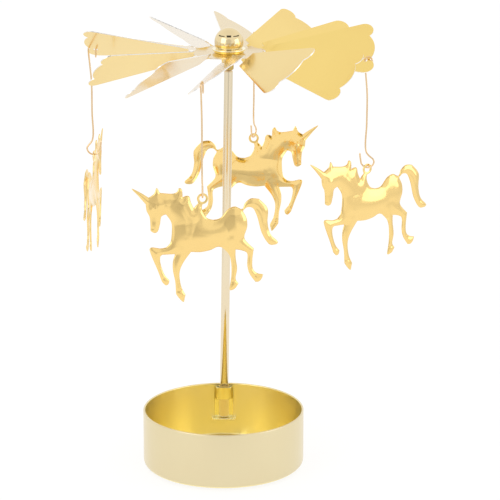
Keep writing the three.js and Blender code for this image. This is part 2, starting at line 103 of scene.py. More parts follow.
# Pole, collar and needle
POLE_RADIUS = 1.7
POLE_LENGTH = 140.6
TONGUE_WIDTH = 4.1
TONGUE_THICKNESS = 0.9
TONGUE_LENGTH = 13
TONGUE_NECK = 1.5
TONGUE_CORNER = 0.8
TONGUE_CORNER_STEPS = (0.2, 0.45, 1)
TONGUE_END_THINNING = 0.8
TONGUE_SQUARENESS = 5
ROUND = 2
POLE_END_CHAMFER = 0.1
COLLAR_RADIUS = 2
COLLAR_HEIGHT = 2.9
COLLAR_CHAMFER = 0.6
COLLAR_EASE = 0.25
SEAT_GAP = 0.3
NEEDLE_RADIUS = 0.45
NEEDLE_REACH = 8.4
NEEDLE_POINT_LENGTH = 1.4
NEEDLE_POINT_RADIUS = 0.12

# Rotor
BLADE_COUNT = 12
FIRST_BLADE_DEGREES = -5
BLADE_REACH = 56
NOTCH_DEPTH = 2
NOTCH_REACH = BLADE_REACH - NOTCH_DEPTH
NOTCH_OFFSET = 6.2
CORNER_LOBE_SHARE = 0.516
BLADE_SIDE_DEGREES = 13.7
BLADE_ROOT = 15.6
ROOT_CORNER = 0.3
HUB_DISC_RADIUS = 13.6
HUB_HOLE_RADIUS = 1.3
NECK_WIDTH = 3
NECK_CORNER = (0.1, 0.15)
BEND_GRID = 0.3
BEND_GRID_HALF = 7
BEND_GRID_MARGINS = (0.2, 0.5)
ROTOR_SHEET = 0.35
PIVOT_RISE = 4.4
HOOK_HOLE_RADIUS = 1
HOOK_STRIP = 0.85
BLADE_TWIST_DEGREES = (36, 30, 32, 31, 35, 22, 32, 37, 39, 35, 36, 38)
BLADE_LIFT_DEGREES = (4, 0, 2, -0.5, -2, -2, 4.3, -3.8, -2.6, 3.2, 4.2, -4.2)
HOOK_BLADES = (0, 3, 6, 9)

# Ball, flange and cone
BALL_LOW, BALL_HIGH = box_mm("dome_cap")
FLANGE_LOW, FLANGE_HIGH = box_mm("cap_ring")
CONE_LOW, CONE_HIGH = box_mm("hub_cone")
BALL_RADIUS = (BALL_HIGH.x - BALL_LOW.x) / 2
BALL_WALL = 0.4
BALL_SEAT_DEGREES = 26
FLANGE_RADIUS = (FLANGE_HIGH.x - FLANGE_LOW.x) / 2
FLANGE_HEIGHT = FLANGE_HIGH.z - FLANGE_LOW.z
FLANGE_TAPER = 0.9
FLANGE_BORE = 1.8
FLANGE_LIP = 0.2
FLANGE_LIP_HEIGHTS = (0.55, 0.45)
FLANGE_EASE = 0.2
CONE_TOP_RADIUS = (CONE_HIGH.x - CONE_LOW.x) / 2
CONE_BOTTOM_RADIUS = 1.65
CONE_HEIGHT = CONE_HIGH.z - CONE_LOW.z
CONE_EASE = 0.12

# Hooks
WIRE_RADIUS = 0.33
WIRE_END_SHARE = 0.55
HOOK_DROP = 42.4
HOOK_TAIL = 3.2
HOOK_SHANK_OFFSET = 0.4
HOOK_BEND = 2.6
HOOK_KINK_HEIGHT = 6
HOOK_KINK_LENGTH = 2.6
HOOK_TIP = 3

# Charms
CHARM_LENGTH = 55
CHARM_SHEET = 0.45
RING_RADIUS = 2.1
RING_HOLE_RADIUS = 1.2

# Each hanger's side, with the direction of its hook's crown from +X, the turn of the lower bend from
# the crown, and the direction of its charm's tail from +X
HANGERS = {
    "right": (-15, 0, 32),
    "rear": (95, -27, 182),
    "left": (355, 180, 265),
    "front": (75, 15, 11),
}

# Mesh settings: the angle of a sharp crease, the weld distance in metres, the largest part of a
# side that an eased corner takes, as a divisor, and small numbers
CREASE_DEGREES = 38
EASE_DIVISOR = 2.5
WELD = 1e-7
FAR = 1e9
TINY = 1e-6
SMALLEST_EASE = 1e-4
FACE_TOLERANCE = 0.1
FLOOR_TOLERANCE = 0.01
FACING_UP = 0.5


def joint_place(name):
    """A joint's place in millimetres."""
    return Vector(JOINTS[name]["pos_m"]) / MM


# Mesh making


def mesh_object(name, points, faces, material, place=None):
    """A mesh from points in millimetres, moved by `place` first, smooth with sharp creases."""
    place = place or Matrix.Identity(4)
    data = bpy.data.meshes.new(name)
    data.from_pydata([(place @ Vector(p)) * MM for p in points], [], faces)
    mesh = bmesh.new()
    mesh.from_mesh(data)
    bmesh.ops.remove_doubles(mesh, verts=mesh.verts, dist=WELD)
    bmesh.ops.recalc_face_normals(mesh, faces=mesh.faces)
    mesh.to_mesh(data)
    mesh.free()
    data.shade_smooth()
    data.set_sharp_from_angle(angle=math.radians(CREASE_DEGREES))
    data.materials.append(material)
    obj = bpy.data.objects.new(name, data)
    bpy.context.scene.collection.objects.link(obj)
    return obj


def dress(obj, node, body):
    """The piece stands for a CAD node, which it hides, and rides on its body."""
    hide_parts(node)
    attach(obj, body)


def arc(centre_x, centre_y, radius, start, end, steps):
    """The points of an arc between two angles in degrees."""
    angles = np.radians(np.linspace(start, end, steps + 1))
    return [(centre_x + radius * math.cos(a), centre_y + radius * math.sin(a)) for a in angles]


def circle(centre_x, centre_y, radius, count):
    """The points of a circle, each one once."""
    return arc(centre_x, centre_y, radius, 0, 360 - 360 / count, count - 1)


def eased(profile, radius, steps=3):
    """A closed profile whose corners off the axis are rounded by about `radius`."""
    out = []
    for i, corner in enumerate(profile):
        here = Vector(corner)
        before = Vector(profile[i - 1]) - here
        after = Vector(profile[(i + 1) % len(profile)]) - here
        cut = min(radius, before.length / EASE_DIVISOR, after.length / EASE_DIVISOR)
        if here.x < TINY or cut < SMALLEST_EASE:
            out.append(tuple(here))
            continue
        a, b = here + before.normalized() * cut, here + after.normalized() * cut
        for t in np.linspace(0, 1, steps + 1):
            out.append(tuple((1 - t) ** 2 * a + 2 * t * (1 - t) * here + t**2 * b))
    return out


def turned(name, profile, material, place=None, segments=96):
    """A closed profile of radius and height, turned about Z."""
    count = len(profile)
    points = [
        (r * math.cos(a), r * math.sin(a), z)
        for a in np.linspace(0, 2 * math.pi, segments, endpoint=False)
        for r, z in profile
    ]
    faces = []
    for s in range(segments):
        for i in range(count):
            j = (i + 1) % count
            near, far = s * count, ((s + 1) % segments) * count
            if profile[i][0] < TINY and profile[j][0] < TINY:
                continue
            faces.append((near + i, far + i, far + j, near + j))
    return mesh_object(name, points, faces, material, place)


def lofted(name, rings, material, place=None):
    """A closed skin through rings of equally many points."""
    count = len(rings[0])
    points = [p for ring in rings for p in ring]
    faces = [tuple(range(count)), tuple(range(len(points) - count, len(points)))]
    for start in range(0, len(points) - count, count):
        for i in range(count):
            j = (i + 1) % count
            faces.append((start + i, start + j, start + count + j, start + count + i))
    return mesh_object(name, points, faces, material, place)


def smooth_path(points, steps):
    """A curve through points in any dimension, evenly weighted, as a polyline."""
    pts = np.array(points, float)
    out = [pts[0]]
    for i in range(len(pts) - 1):
        p0, p1, p2 = pts[max(i - 1, 0)], pts[i], pts[i + 1]
        p3 = pts[min(i + 2, len(pts) - 1)]
        m1, m2 = (p2 - p0) / 2, (p3 - p1) / 2
        for t in np.linspace(0, 1, steps + 1)[1:]:
            a = (2 * t**3 - 3 * t**2 + 1) * p1 + (t**3 - 2 * t**2 + t) * m1
            out.append(a + (-2 * t**3 + 3 * t**2) * p2 + (t**3 - t**2) * m2)
    return np.array(out)


def wire_rings(path, radius, sides=14):
    """Rings round a path in space, drawn in at both ends to round them."""
    tangents = np.gradient(path, axis=0)
    tangents /= np.linalg.norm(tangents, axis=1)[:, None]
    across = np.array([0.0, 1.0, 0.0])
    rings = []
    for i, (point, tangent) in enumerate(zip(path, tangents)):
        across = across - (across @ tangent) * tangent
        across /= np.linalg.norm(across)
        upright = np.cross(tangent, across)
        size = radius * (WIRE_END_SHARE if i in (0, len(path) - 1) else 1)
        rings.append([
            point + size * (math.cos(a) * upright + math.sin(a) * across)
            for a in np.linspace(0, 2 * math.pi, sides, endpoint=False)
        ])
    return rings


def sheet_mesh(outline, holes, inner_points):
    """Triangles inside a flat outline and outside its holes, through extra inner points."""
    loops = [outline, *holes]
    points = [tuple(p) for loop in loops for p in loop]
    edges, start = [], 0
    for loop in loops:
        edges += [(start + i, start + (i + 1) % len(loop)) for i in range(len(loop))]
        start += len(loop)
    points += [tuple(p) for p in inner_points]
    inside_only = 1
    made = delaunay_2d_cdt(
        [Vector(p) for p in points], edges, [list(range(len(outline)))], inside_only, TINY
    )
    verts = np.array([tuple(v) for v in made[0]])
    centres = np.array([verts[list(f)].mean(axis=0) for f in made[2]])
    keep = np.ones(len(centres), bool)
    for hole in holes:
        keep &= ~inside(centres, np.array(hole))
    return verts, [f for f, good in zip(made[2], keep) if good]


def inside(points, loop):
    """Whether each point lies inside a closed loop."""
    x, y = points[:, 0], points[:, 1]
    hit = np.zeros(len(points), bool)
    for (x0, y0), (x1, y1) in zip(loop, np.roll(loop, -1, axis=0)):
        if y0 == y1:
            continue
        crosses = (y0 > y) != (y1 > y)
        hit ^= crosses & (x < (x1 - x0) * (y - y0) / (y1 - y0) + x0)
    return hit


def line_distance(points, line):
    """Each point's distance to an open polyline."""
    nearest = np.full(len(points), FAR)
    for a, b in zip(line[:-1], line[1:]):
        span = b - a
        t = np.clip(((points - a) @ span) / (span @ span), 0, 1)
        nearest = np.minimum(nearest, np.linalg.norm(points - a - t[:, None] * span, axis=1))
    return nearest


def edge_distance(points, loops):
    """Each point's distance to the nearest of the closed loops."""
    return np.min([line_distance(points, np.vstack([loop, loop[:1]])) for loop in loops], axis=0)


def sheet_solid(verts, faces, upper, lower):
    """Points and faces of a sheet between two skins, closed along its free edges."""
    count = len(verts)
    points = list(upper) + list(lower)
    out = [tuple(f) for f in faces] + [tuple(count + i for i in reversed(f)) for f in faces]
    seen = {}
    for f in faces:
        for i, j in zip(f, (*f[1:], f[0])):
            seen[(i, j)] = True
    for i, j in seen:
        if (j, i) not in seen:
            out.append((j, i, count + i, count + j))
    return points, out


# Materials

# A mix node's sockets for colours, counted among those for every kind of value
MIX_COLOUR_INPUTS = (6, 7)
MIX_COLOUR_OUTPUT = 2

PALE_EDGE_POINTINESS = (0.52, 0.62)
PALE_EDGE_SHARE = 0.5
PALE_EDGE_GAIN = 1.1
PALE_EDGE_LIFT = 0.04
GLOSS_NOISE = (0.3, 0.7)
PATCH_DETAIL = 3
MARK_DETAIL = 4
MARK_HEIGHT = 0.05


def node(tree, kind, **inputs):
    """A new node with its inputs set by name, an underscore standing for a space."""
    made = tree.nodes.new(kind)
    for name, value in inputs.items():
        made.inputs[name.replace("_", " ")].default_value = value
    return made


def ranged(tree, value, from_min, from_max, to_min, to_max):
    """A value mapped smoothly from one range to another, and held at both ends."""
    made = node(
        tree, "ShaderNodeMapRange",
        From_Min=from_min, From_Max=from_max, To_Min=to_min, To_Max=to_max,
    )
    made.interpolation_type = "SMOOTHSTEP"
    tree.links.new(value, made.inputs["Value"])
    return made.outputs["Result"]


def mixed(tree, share, first, second):
    """Two colours, each a constant or an output, mixed by a share."""
    made = tree.nodes.new("ShaderNodeMix")
    made.data_type = "RGBA"
    tree.links.new(share, made.inputs["Factor"])
    for index, colour in zip(MIX_COLOUR_INPUTS, (first, second)):
        if isinstance(colour, tuple):
            made.inputs[index].default_value = (*colour, 1)
        else:
            tree.links.new(colour, made.inputs[index])
    return made.outputs[MIX_COLOUR_OUTPUT]


def metal(
    name, colour, deep_share, roughness, patch, marks=0.03, mark_size=1.2,
    grain=(1, 1, 1), coat=0.0, edge_tint=(1, 1, 1), uneven=0.27,
):
    """A polished or satin metal: broad changes of tone, uneven gloss, fine marks and paler sharp
    edges.

    `deep_share` is how much of its colour the deeper tone keeps, `patch` the size of a change of
    tone and `mark_size` that of a fine mark, `marks` how strong those are and `uneven` how far the
    roughness strays. `grain` draws the marks out along an axis.
    """
    material = bpy.data.materials.new(name)
    material.use_nodes = True
    tree = material.node_tree
    shader = tree.nodes["Principled BSDF"]
    shader.inputs["Metallic"].default_value = 1
    shader.inputs["Specular Tint"].default_value = (*edge_tint, 1)
    shader.inputs["Coat Weight"].default_value = coat
    shader.inputs["Coat Roughness"].default_value = roughness / 2
    place = tree.nodes.new("ShaderNodeTexCoord")
    patches = node(tree, "ShaderNodeTexNoise", Scale=1 / (patch * MM), Detail=PATCH_DETAIL)
    tree.links.new(place.outputs["Object"], patches.inputs["Vector"])
    # Blue loses most, so the deeper tone is warmer too
    deep = tuple(c * deep_share ** (1 + 2 * i) for i, c in enumerate(colour))
    tone = mixed(tree, patches.outputs["Fac"], deep, colour)
    geometry = tree.nodes.new("ShaderNodeNewGeometry")
    # Sharp edges, where the surface is pointy, are paler.
    pale_edge_share = ranged(tree, geometry.outputs["Pointiness"], *PALE_EDGE_POINTINESS, 0, PALE_EDGE_SHARE)
    pale_edge = tuple(min(1, c * PALE_EDGE_GAIN + PALE_EDGE_LIFT) for c in colour)
    tree.links.new(mixed(tree, pale_edge_share, tone, pale_edge), shader.inputs["Base Color"])
    stretch = tree.nodes.new("ShaderNodeMapping")
    stretch.inputs["Scale"].default_value = grain
    tree.links.new(place.outputs["Object"], stretch.inputs["Vector"])
    fine = node(tree, "ShaderNodeTexNoise", Scale=1 / (mark_size * MM), Detail=MARK_DETAIL)
    tree.links.new(stretch.outputs["Vector"], fine.inputs["Vector"])
    glossy, dull = roughness * (1 - uneven), roughness * (1 + uneven)
    gloss = ranged(tree, fine.outputs["Fac"], *GLOSS_NOISE, glossy, dull)
    tree.links.new(gloss, shader.inputs["Roughness"])
    bump = node(tree, "ShaderNodeBump", Strength=marks, Distance=MARK_HEIGHT * MM)
    tree.links.new(fine.outputs["Fac"], bump.inputs["Height"])
    tree.links.new(bump.outputs["Normal"], shader.inputs["Normal"])
    return material


UPRIGHT_GRAIN = (1, 1, 0.05)
sheet_gold = metal(
    "sheet_gold", (0.9, 0.65, 0.19), deep_share=0.985, roughness=0.16, patch=34, marks=0.012,
    mark_size=3, coat=0.5, edge_tint=(0.86, 0.88, 1), uneven=0.1,
)
cut_edge = metal(
    "cut_edge", (0.93, 0.91, 0.86), deep_share=0.95, roughness=0.32, patch=6, marks=0.1
)
stamped_gold = metal(
    "stamped_gold", (0.955, 0.695, 0.27), deep_share=0.98, roughness=0.12, patch=9, coat=0.35
)
deep_gold = metal("deep_gold", (0.985, 0.85, 0.41), deep_share=0.98, roughness=0.15, patch=6)
# A paler copy of the gold: painted highlight on the clip shelf's lips and on the flange.
pale_gold_painted_highlight = metal("pale_gold_painted_highlight", (0.995, 0.925, 0.68), deep_share=0.99, roughness=0.22, patch=6)
# A darker copy of the gold: painted shade for the dim surroundings that the collar reflects. The cone
# takes it too.
bush_gold_painted_shade = metal("bush_gold_painted_shade", (0.6, 0.43, 0.14), deep_share=0.97, roughness=0.15, patch=6)
pole_gold = metal(
    "pole_gold", (0.84, 0.74, 0.54), deep_share=0.97, roughness=0.12, patch=12,
    grain=UPRIGHT_GRAIN, coat=0.3,
)
ball_gold = metal(
    "ball_gold", (0.85, 0.7, 0.41), deep_share=0.985, roughness=0.025, patch=8, marks=0.004
)
wire_gold = metal(
    "wire_gold", (0.88, 0.68, 0.42), deep_share=0.93, roughness=0.18, patch=3, marks=0.08
)
cup_satin = metal(
    "cup_satin", (0.79, 0.69, 0.44), deep_share=0.985, roughness=0.3, patch=18, marks=0.006,
    grain=UPRIGHT_GRAIN, coat=0.2, uneven=0.07,
)
# Lighter, yellower copies of the cup's metal for its inside and its floor: painted light that
# brightens the cavity.
cup_inside_painted_light = metal(
    "cup_inside_painted_light", (0.998, 0.875, 0.44), deep_share=0.998, roughness=0.32, patch=14, marks=0.002,
    mark_size=4, uneven=0.05,
)
cup_floor_painted_light = metal(
    "cup_floor_painted_light", (0.998, 0.9, 0.5), deep_share=0.998, roughness=0.08, patch=14, marks=0.002,
    mark_size=4, uneven=0.05,
)
steel = metal("needle_steel", (0.6, 0.6, 0.62), deep_share=0.9, roughness=0.2, patch=3)


# Cup and clip


def cup():
    """The deep-drawn cup, with a hem at its rim and four feet pressed down from its floor.

    Its inner wall leans in a little, from below the hem to the small corner at the floor.
    """
    inner = CUP_RADIUS - CUP_WALL
    floor_top = FOOT_HEIGHT + CUP_WALL
    corner_x = CUP_RADIUS - CUP_CORNER
    hem_x, hem_z = CUP_RADIUS - HEM_RADIUS, CUP_HEIGHT - HEM_RADIUS
    floor_steps = np.linspace(0, corner_x, FLOOR_RINGS)
    outside = [(r, FOOT_HEIGHT) for r in floor_steps[:-1]]
    outside += arc(corner_x, FOOT_HEIGHT + CUP_CORNER, CUP_CORNER, -90, 0, steps=8)
    outside += arc(hem_x, hem_z, HEM_RADIUS, 0, HEM_END_DEGREES, steps=12)
    inside_profile = [(inner, hem_z - HEM_RADIUS)]
    corner_z = floor_top + CUP_INNER_CORNER
    inside_profile += arc(corner_x, corner_z, CUP_INNER_CORNER, 0, -90, steps=8)
    inside_profile += [(r, floor_top) for r in reversed(floor_steps[:-1])]
    obj = turned("cup_body", outside + inside_profile, cup_satin, segments=192)
    data = obj.data
    # The inside and the floor take the lighter copies of the metal: painted light.
    data.materials.append(cup_inside_painted_light)
    data.materials.append(cup_floor_painted_light)
    painted_light_inside_slot, painted_light_floor_slot = 1, 2
    feet = [
        Vector((math.cos(a), math.sin(a), 0)) * FOOT_CIRCLE
        for a in np.radians(FOOT_TURN_DEGREES + 360 / FOOT_COUNT * np.arange(FOOT_COUNT))
    ]
    foot_edge, foot_tip = (share * FOOT_RADIUS for share in FOOT_BLEND_SHARES)
    for vertex in data.vertices:
        at = vertex.co / MM
        if at.z > floor_top + FLOOR_TOLERANCE:
            continue
        away = min((Vector((at.x, at.y, 0)) - foot).length for foot in feet)
        vertex.co.z -= FOOT_HEIGHT * MM * smooth_step(foot_edge, foot_tip, away)
    for face in data.polygons:
        at = face.center / MM
        out = Vector((at.x, at.y, 0)).length
        above_floor = floor_top - FACE_TOLERANCE < at.z < CUP_HEIGHT - FACE_TOLERANCE
        if above_floor and out < CUP_RADIUS - HEM_RADIUS:
            face.material_index = painted_light_inside_slot
        if out < corner_x and face.normal.z > FACING_UP:
            face.material_index = painted_light_floor_slot
    data.transform(Matrix.Translation((0, 0, STANDING_Z * MM)))
    dress(obj, "cup", "base")


def smooth_step(low, high, value):
    """0 at `low` and 1 at `high`, with a soft start and end."""
    t = min(max((value - low) / (high - low), 0), 1)
    return t * t * (3 - 2 * t)


def prism(name, outline, low, high, material, place=None, bevel=CLIP_EDGE_BEVEL):
    """A prism of a closed outline from `low` to `high`, with a small bevel on its edges."""
    count = len(outline)
    points = [(x, y, z) for z in (low, high) for x, y in outline]
    faces = [tuple(range(count)), tuple(range(count, 2 * count))]
    faces += [(i, (i + 1) % count, count + (i + 1) % count, count + i) for i in range(count)]
    obj = mesh_object(name, points, faces, material, place)
    rounding = obj.modifiers.new("bevel", "BEVEL")
    rounding.width = bevel * MM
    rounding.segments = 2
    rounding.limit_method = "ANGLE"
    return obj


def offset_line(line, thickness):
    """A closed outline round an open polyline, `thickness` to its left."""
    pts = np.array(line, float)
    steps = np.diff(pts, axis=0)
    steps /= np.linalg.norm(steps, axis=1)[:, None]
    normals = np.vstack([steps[0], (steps[:-1] + steps[1:]) / 2, steps[-1]])
    lengths = np.linalg.norm(normals, axis=1)[:, None]
    normals = np.stack([-normals[:, 1], normals[:, 0]], axis=1) / lengths**2
    return [tuple(p) for p in pts] + [tuple(p) for p in (pts + normals * thickness)[::-1]]


def pole_clip():
    """The folded clip: a plate on the wall, a strap over the tongue and a shelf under it."""
    front = CLIP_HIGH.y - CLIP_SHEET
    half = CLIP_WIDTH / 2
    plate = prism(
        "clip_plate",
        [(-half, front), (half, front), (half, CLIP_HIGH.y), (-half, CLIP_HIGH.y)],
        CLIP_LOW.z, CLIP_HIGH.z, deep_gold,
    )
    strap_front = front - TONGUE_THICKNESS - 2 * SEAT_GAP - CLIP_SHEET
    shoulder = half - CLIP_TAPER
    right_half = [
        (half, front),
        (half - CLIP_TAPER / 2, front - CLIP_SHEET),
        (shoulder, strap_front + CLIP_BEND),
        (shoulder - CLIP_BEND / 4, strap_front + CLIP_BEND / 4),
        (shoulder - CLIP_BEND, strap_front),
    ]
    line = [(-x, y) for x, y in right_half] + right_half[::-1]
    strap = prism(
        "clip_strap", offset_line(line, CLIP_SHEET),
        CLIP_HIGH.z - CLIP_STRAP_HEIGHT, CLIP_HIGH.z, deep_gold,
    )
    shelf_half, floor, lip = CLIP_HIGH.x, CLIP_LOW.z, CLIP_LOW.z + CLIP_CORNER_HEIGHT
    lip_bend = CLIP_CORNER_HEIGHT / 2
    right_half = [
        (shelf_half, lip),
        (shelf_half - lip_bend / 4, floor + lip_bend / 2),
        (shelf_half - lip_bend, floor),
    ]
    line = [(-x, z) for x, z in right_half] + right_half[::-1]
    # The shelf's paler gold is a painted highlight.
    shelf = prism(
        "clip_shelf", offset_line(line, CLIP_SHEET), -front, CLIP_SHELF_DEPTH - front, pale_gold_painted_highlight,
        Matrix.Rotation(math.radians(90), 4, "X"), SHELF_EDGE_BEVEL,
    )
    for obj in (plate, strap, shelf):
        dress(obj, "pole_clip", "base")


# Pole


def pole_frame():
    """The pole's own frame: its foot at the joint's place, z along the joint's axis."""
    along = Vector(JOINTS["pole_lift"]["axis"])
    turn = Vector((0, 0, 1)).rotation_difference(along).to_matrix().to_4x4()
    return Matrix.Translation(joint_place("pole_lift")) @ turn


def pole_ring(height, half_x, half_y, squareness, sides=48):
    """A ring of points that is an ellipse at a squareness of 2 and nears a rectangle above it."""
    power = ROUND / squareness
    ring = []
    for a in np.linspace(0, 2 * math.pi, sides, endpoint=False):
        x, y = math.cos(a), math.sin(a)
        ring.append((
            half_x * math.copysign(abs(x) ** power, x),
            half_y * math.copysign(abs(y) ** power, y),
            height,
        ))
    return ring


def pole():
    """The tube, pressed flat at its foot to a tongue with rounded corners."""
    half_x, half_y = TONGUE_WIDTH / 2, TONGUE_THICKNESS / 2
    neck_top = TONGUE_LENGTH + TONGUE_NECK
    end_y = half_y * TONGUE_END_THINNING
    rings = [pole_ring(0, half_x - TONGUE_CORNER, end_y, TONGUE_SQUARENESS)]
    for share in TONGUE_CORNER_STEPS:
        corner_half = half_x - TONGUE_CORNER * (1 - share) ** 2
        rings.append(pole_ring(share * TONGUE_CORNER, corner_half, half_y, TONGUE_SQUARENESS))
    for t in np.linspace(0, 1, 9):
        s = smooth_step(0, 1, t)
        rings.append(pole_ring(
            TONGUE_LENGTH + t * (neck_top - TONGUE_LENGTH),
            half_x + s * (POLE_RADIUS - half_x),
            half_y + s * (POLE_RADIUS - half_y),
            TONGUE_SQUARENESS - (TONGUE_SQUARENESS - ROUND) * s,
        ))
    rings.append(pole_ring(POLE_LENGTH - POLE_END_CHAMFER, POLE_RADIUS, POLE_RADIUS, ROUND))
    end_radius = POLE_RADIUS - POLE_END_CHAMFER
    rings.append(pole_ring(POLE_LENGTH, end_radius, end_radius, ROUND))
    dress(lofted("pole_tube", rings, pole_gold, pole_frame()), "pole", "pole_body")


def collar_and_needle():
    """The chamfered collar at the pole's top and the pivot needle that is pressed in it."""
    top = POLE_LENGTH + SEAT_GAP
    profile = eased(
        [
            (NEEDLE_RADIUS, top),
            (COLLAR_RADIUS - COLLAR_CHAMFER, top),
            (COLLAR_RADIUS, top + COLLAR_CHAMFER),
            (COLLAR_RADIUS, top + COLLAR_HEIGHT),
            (NEEDLE_RADIUS, top + COLLAR_HEIGHT),
        ],
        COLLAR_EASE,
    )
    # The collar's darker gold is painted shade.
    collar = turned("collar", profile, bush_gold_painted_shade, pole_frame(), segments=64)
    dress(collar, "pole_collar", "pole_body")
    tip = top + COLLAR_HEIGHT + NEEDLE_REACH
    profile = [
        (0, top),
        (NEEDLE_RADIUS, top),
        (NEEDLE_RADIUS, tip - NEEDLE_POINT_LENGTH),
        (NEEDLE_POINT_RADIUS, tip),
        (0, tip),
    ]
    pin = turned("pivot_needle", profile, steel, pole_frame(), segments=32)
    dress(pin, "needle", "pole_body")


# Rotor


def rotor_frame():
    """The rotor's own frame: the middle of its flat disc, below the joint's place on the needle."""
    return Matrix.Translation(joint_place("rotor_spin") - Vector((0, 0, PIVOT_RISE)))


def blade_edge():
    """Half of a blade's lobed end, from its tip to where the corner lobe meets the side."""
    centre_radius = (NOTCH_OFFSET**2 + NOTCH_DEPTH**2) / (2 * NOTCH_DEPTH)
    side = math.radians(BLADE_SIDE_DEGREES)
    along = NOTCH_REACH * math.cos(side) + NOTCH_OFFSET * math.sin(side)
    inset = NOTCH_REACH * math.sin(side) - NOTCH_OFFSET * math.cos(side)
    lobe_radius = CORNER_LOBE_SHARE * inset
    touch = along - math.sqrt(lobe_radius**2 - (inset - lobe_radius) ** 2)
    lobe_x = touch * math.cos(side) + lobe_radius * math.sin(side)
    lobe_y = touch * math.sin(side) - lobe_radius * math.cos(side)
    notch = math.degrees(math.atan2(NOTCH_OFFSET - lobe_y, NOTCH_REACH - lobe_x))
    sweep = math.degrees(math.asin(NOTCH_OFFSET / centre_radius))
    lobe = arc(lobe_x, lobe_y, lobe_radius, notch, 90 + BLADE_SIDE_DEGREES, steps=16)
    tip = arc(BLADE_REACH - centre_radius, 0, centre_radius, 0, sweep, steps=14)
    return tip + lobe[1:]


def blade_outline():
    """A blade and its neck, counter-clockwise from the disc's edge, in the blade's own frame."""
    root_half = BLADE_ROOT * math.tan(math.radians(BLADE_SIDE_DEGREES))
    edge = blade_edge()
    side_end = edge[-1]
    back, out = NECK_CORNER
    neck_start, neck_end = HUB_DISC_RADIUS + back, BLADE_ROOT - back - ROOT_CORNER
    neck = [(x, NECK_WIDTH / 2) for x in np.linspace(neck_start, neck_end, 8)]
    corner = [(BLADE_ROOT - back, NECK_WIDTH / 2 + out), (BLADE_ROOT, root_half - ROOT_CORNER)]
    side_start = BLADE_ROOT + ROOT_CORNER
    side = [
        (side_start + t * (side_end[0] - side_start), root_half + t * (side_end[1] - root_half))
        for t in np.linspace(0, 1, 14)[:-1]
    ]
    half = neck + corner + side + edge[::-1]
    return [(x, -y) for x, y in half] + half[:-1][::-1]


def rotor():
    """The rotor is cut flat in one piece and then each blade is twisted and bent at its neck."""
    outline, inner, holes = [], [], [circle(0, 0, HUB_HOLE_RADIUS, 36)]
    blade = blade_outline()
    step = 2 * math.pi / BLADE_COUNT
    neck_angle = math.asin(NECK_WIDTH / 2 / HUB_DISC_RADIUS)
    before, after = BEND_GRID_MARGINS
    grid = [
        (x, y * x / BLADE_REACH)
        for x in np.arange(HUB_DISC_RADIUS - before, BLADE_ROOT + after, BEND_GRID)
        for y in np.linspace(-BEND_GRID_HALF, BEND_GRID_HALF, 9)
    ]
    for index in range(BLADE_COUNT):
        angle = math.radians(FIRST_BLADE_DEGREES) + index * step
        c, s = math.cos(angle), math.sin(angle)
        outline += [(c * x - s * y, s * x + c * y) for x, y in blade]
        gap = np.linspace(angle + neck_angle, angle + step - neck_angle, 7)
        outline += [(HUB_DISC_RADIUS * math.cos(a), HUB_DISC_RADIUS * math.sin(a)) for a in gap]
        inner += [(c * x - s * y, s * x + c * y) for x, y in grid]
        if index in HOOK_BLADES:
            hole_x = NOTCH_REACH - HOOK_STRIP - HOOK_HOLE_RADIUS
            hole = circle(hole_x, -NOTCH_OFFSET, HOOK_HOLE_RADIUS, 24)
            holes.append([(c * x - s * y, s * x + c * y) for x, y in hole])
    verts, faces = sheet_mesh(outline, holes, inner)
    upper, lower = [], []
    for x, y in verts:
        index = round((math.atan2(y, x) - math.radians(FIRST_BLADE_DEGREES)) / step) % BLADE_COUNT
        upper.append(bent(index, x, y, ROTOR_SHEET / 2))
        lower.append(bent(index, x, y, -ROTOR_SHEET / 2))
    points, faces = sheet_solid(verts, faces, upper, lower)
    obj = mesh_object("rotor_sheet", points, faces, sheet_gold, rotor_frame())
    obj.data.materials.append(cut_edge)
    edge_slot = 1
    for face in obj.data.polygons:
        if len(face.vertices) == 4:
            face.material_index = edge_slot
    dress(obj, "rotor", "rotor_body")


def bent(index, x, y, height):
    """Where a point of the flat sheet lies once its blade is twisted and lifted."""
    angle = math.radians(FIRST_BLADE_DEGREES) + index * 2 * math.pi / BLADE_COUNT
    along = x * math.cos(angle) + y * math.sin(angle)
    across = -x * math.sin(angle) + y * math.cos(angle)
    share = smooth_step(HUB_DISC_RADIUS, BLADE_ROOT, along)
    start = min(along, BLADE_ROOT)
    frame_here = (
        Matrix.Rotation(angle, 4, "Z")
        @ Matrix.Translation((start, 0, 0))
        @ Matrix.Rotation(-math.radians(BLADE_LIFT_DEGREES[index]) * share, 4, "Y")
        @ Matrix.Rotation(math.radians(BLADE_TWIST_DEGREES[index]) * share, 4, "X")
    )
    return frame_here @ Vector((along - start, across, height))


